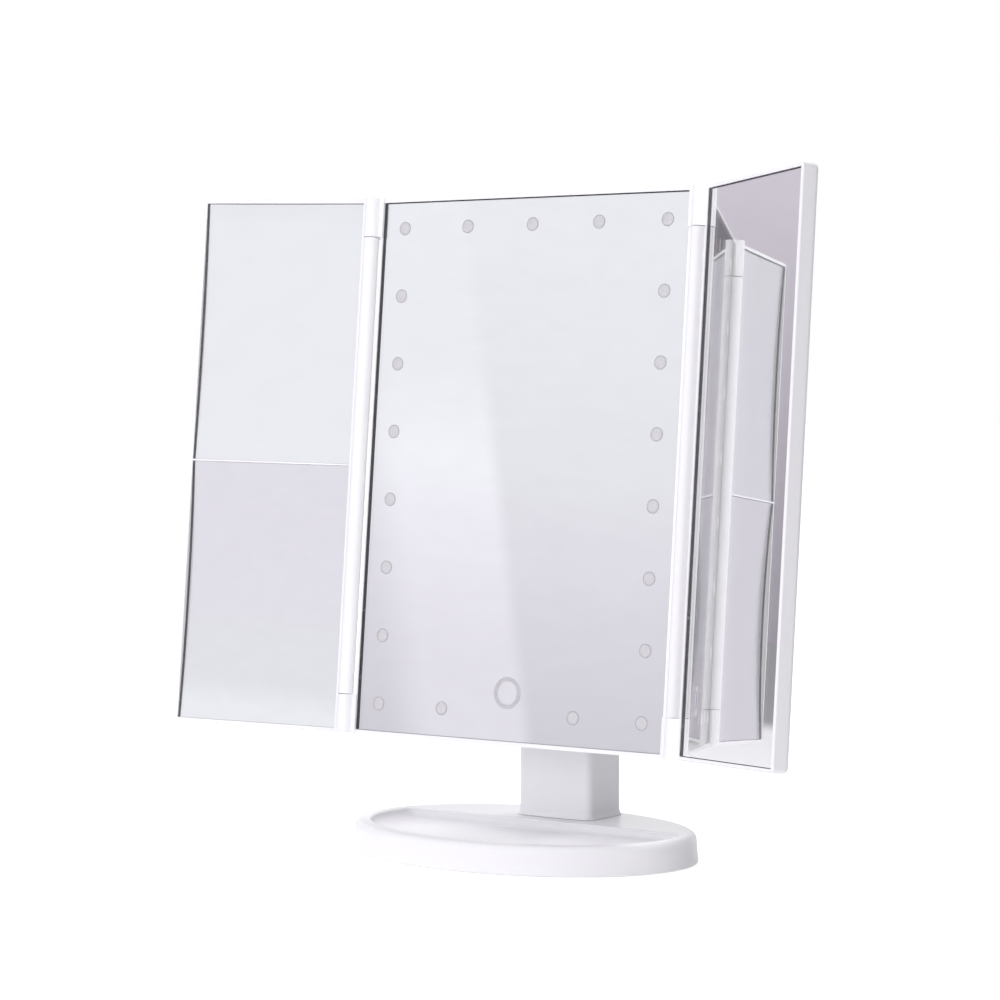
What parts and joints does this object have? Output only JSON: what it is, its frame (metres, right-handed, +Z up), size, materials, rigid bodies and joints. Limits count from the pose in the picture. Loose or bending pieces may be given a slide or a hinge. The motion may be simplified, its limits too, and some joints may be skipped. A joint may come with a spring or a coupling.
{
  "type": "trifold vanity mirror",
  "caption": "Free-standing folding make-up mirror: lit centre mirror with touch ring, two folding wing mirrors, tilting head, hollow column and oval tray base.",
  "frame": {"origin": "centre of the oval base on the plane that the foot ring rests on", "axes": "+Z up, the mirrors face -Y, +X to the right of someone who looks into them"},
  "size_m": [0.3285, 0.1176, 0.2882],
  "materials": {
    "white_plastic": "satin-gloss moulded",
    "foot_rubber": "matt",
    "screw_steel": "zinc plated",
    "pin_steel": "polished",
    "cell_jacket": "satin",
    "contact_metal": "nickel plated",
    "circuit_board": "white solder mask",
    "dark_plastic": "moulded",
    "washer_nylon": "smooth",
    "bush_brass": "turned",
    "silvered_glass": "polished",
    "foam_tape": "foam",
    "diffuser": "frosted",
    "touch_foam": "conductive foam",
    "led_phosphor": "cast",
    "lead_jacket": "smooth"
  },
  "bodies": {
    "stand": {"base_shell": "white_plastic", "base_bottom_plate": "white_plastic", "foot_ring": "foot_rubber", "base_plate_screws": "screw_steel", "column_screws": "screw_steel", "column_shell": "white_plastic", "battery_cells": "cell_jacket", "battery_contacts": "contact_metal", "charge_board": "circuit_board", "usb_socket": "contact_metal", "power_switch_body": "dark_plastic", "tilt_screw": "screw_steel", "tilt_nut": "screw_steel", "tilt_spring_washer": "screw_steel", "tilt_friction_washers": "washer_nylon", "tilt_bush": "bush_brass", "power_lead": "lead_jacket"},
    "battery_door": {"battery_door": "white_plastic"},
    "power_switch": {"power_switch_knob": "white_plastic"},
    "head": {"ear_cap": "white_plastic", "centre_frame": "white_plastic", "centre_rear_cover": "white_plastic", "head_screws": "screw_steel", "centre_mirror": "silvered_glass", "centre_mirror_tape": "foam_tape", "light_diffusers": "diffuser", "touch_ring_diffuser": "diffuser", "touch_pad": "touch_foam", "led_boards": "circuit_board", "led_chips": "led_phosphor", "control_board": "circuit_board", "control_board_components": "dark_plastic", "left_hinge_pins": "pin_steel", "right_hinge_pins": "pin_steel", "head_lead": "lead_jacket", "board_jumpers": "lead_jacket"},
    "left_wing": {"left_wing_tray": "white_plastic", "left_upper_mirror": "silvered_glass", "left_lower_mirror": "silvered_glass", "left_mirror_pads": "foam_tape"},
    "right_wing": {"right_wing_tray": "white_plastic", "right_mirror": "silvered_glass", "right_mirror_tape": "foam_tape"}
  },
  "joints": [
    {"name": "head_tilt", "type": "hinge", "parent": "stand", "child": "head", "pos_m": [0, 0.0358, 0.15], "axis": [1, 0, 0], "range_deg": [-84.5, 10.5]},
    {"name": "left_wing_fold", "type": "hinge", "parent": "head", "child": "left_wing", "pos_m": [-0.0848, -0.00515, 0.1661], "axis": [0, 0.0958, 0.9954], "range_deg": [-13.2, 166.8]},
    {"name": "right_wing_fold", "type": "hinge", "parent": "head", "child": "right_wing", "pos_m": [0.0848, -0.00515, 0.1661], "axis": [0, -0.0958, -0.9954], "range_deg": [-32, 148]},
    {"name": "battery_door_slide", "type": "slide", "parent": "stand", "child": "battery_door", "axis": [0, 0, 1], "range_m": [0, 0.008]},
    {"name": "power_switch_slide", "type": "slide", "parent": "stand", "child": "power_switch", "axis": [1, 0, 0], "range_m": [0, 0.003]}
  ]
}
